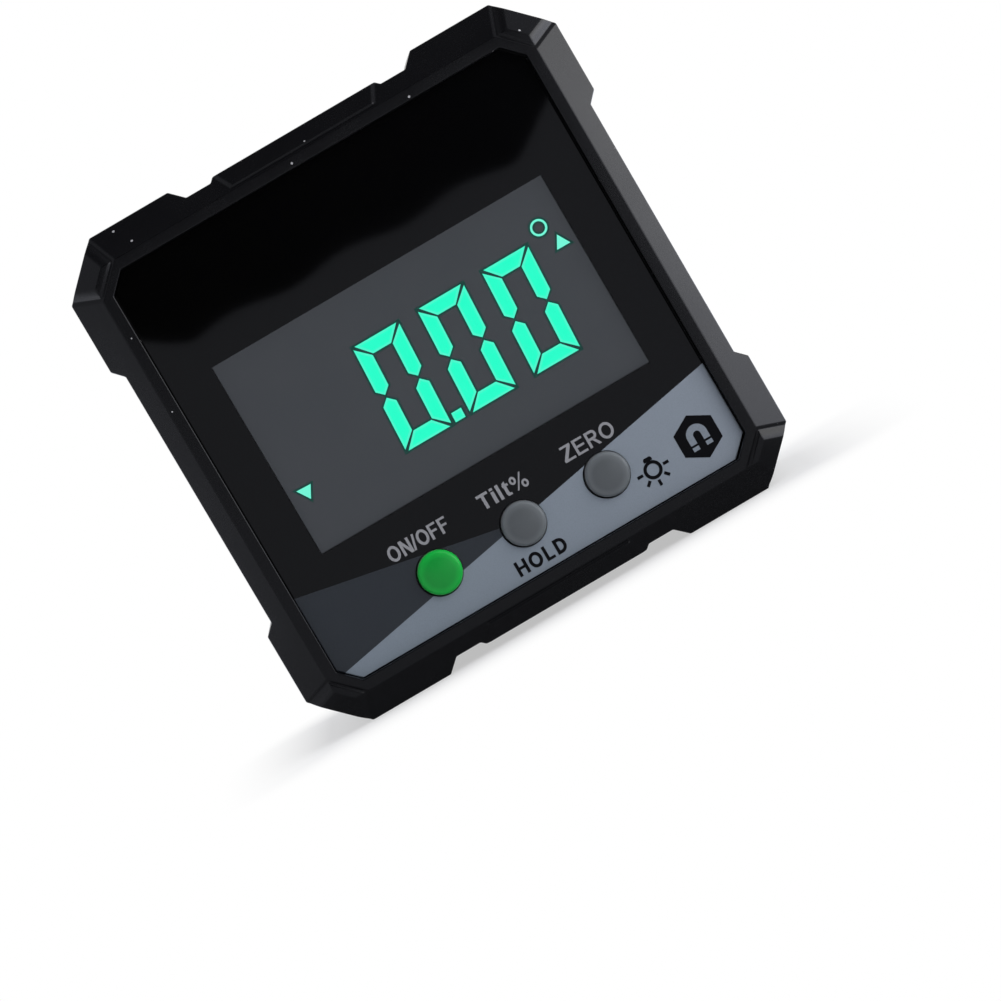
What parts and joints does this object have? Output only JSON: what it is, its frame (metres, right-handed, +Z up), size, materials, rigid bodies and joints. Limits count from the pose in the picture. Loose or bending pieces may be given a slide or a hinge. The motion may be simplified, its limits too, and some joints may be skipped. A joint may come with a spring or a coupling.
{
  "type": "digital angle gauge",
  "caption": "Square pocket digital angle gauge with faceted corner lugs, a backlit tilt display, domed push buttons, a sliding battery door and a magnetic base.",
  "frame": {"origin": "middle of the base, on the plane that the corner lugs stand on", "axes": "+X to the display's right, +Y from the display to the back, +Z up from the magnetic base"},
  "size_m": [0.06, 0.028, 0.06],
  "materials": {
    "housing_plastic": "fine satin moulded plastic, near black",
    "faceplate_acrylic": "gloss acrylic, printed on its back",
    "tape_foam": "thin foam tape",
    "display_glass": "smooth grey display glass",
    "backlight_plastic": "milky light guide",
    "zebra_rubber": "silicone strip",
    "board_laminate": "satin circuit board",
    "chip_plastic": "matt epoxy",
    "green_plastic": "satin green plastic",
    "grey_plastic": "satin grey plastic",
    "plunger_plastic": "satin",
    "cell_jacket": "satin jacket, no print",
    "contact_metal": "nickel-plated spring steel",
    "screw_steel": "zinc-plated",
    "magnet_plating": "bright nickel plating"
  },
  "bodies": {
    "gauge": {"front_housing": "housing_plastic", "rear_cover": "housing_plastic", "faceplate_lens": "faceplate_acrylic", "lens_tape": "tape_foam", "lcd_panel": "display_glass", "backlight": "backlight_plastic", "zebra_strip": "zebra_rubber", "main_board": "board_laminate", "controller_chip": "chip_plastic", "tilt_sensor": "chip_plastic", "switch_bodies": "chip_plastic", "upper_cell": "cell_jacket", "lower_cell": "cell_jacket", "negative_terminal": "contact_metal", "positive_terminal": "contact_metal", "cell_bridge": "contact_metal", "contact_springs": "contact_metal", "case_screws": "screw_steel", "board_screws": "screw_steel", "base_magnets": "magnet_plating"},
    "power_key": {"power_button": "green_plastic", "power_plunger": "plunger_plastic"},
    "tilt_key": {"tilt_button": "grey_plastic", "tilt_plunger": "plunger_plastic"},
    "zero_key": {"zero_button": "grey_plastic", "zero_plunger": "plunger_plastic"},
    "door": {"battery_door": "housing_plastic"}
  },
  "joints": [
    {"name": "power_press", "type": "slide", "parent": "gauge", "child": "power_key", "axis": [0, 1, 0], "range_m": [0, 0.0005], "stiffness_N_per_m": 3000},
    {"name": "tilt_press", "type": "slide", "parent": "gauge", "child": "tilt_key", "axis": [0, 1, 0], "range_m": [0, 0.0005], "stiffness_N_per_m": 3000},
    {"name": "zero_press", "type": "slide", "parent": "gauge", "child": "zero_key", "axis": [0, 1, 0], "range_m": [0, 0.0005], "stiffness_N_per_m": 3000},
    {"name": "door_slide", "type": "slide", "parent": "gauge", "child": "door", "axis": [1, 0, 0], "range_m": [0, 0.055]}
  ]
}
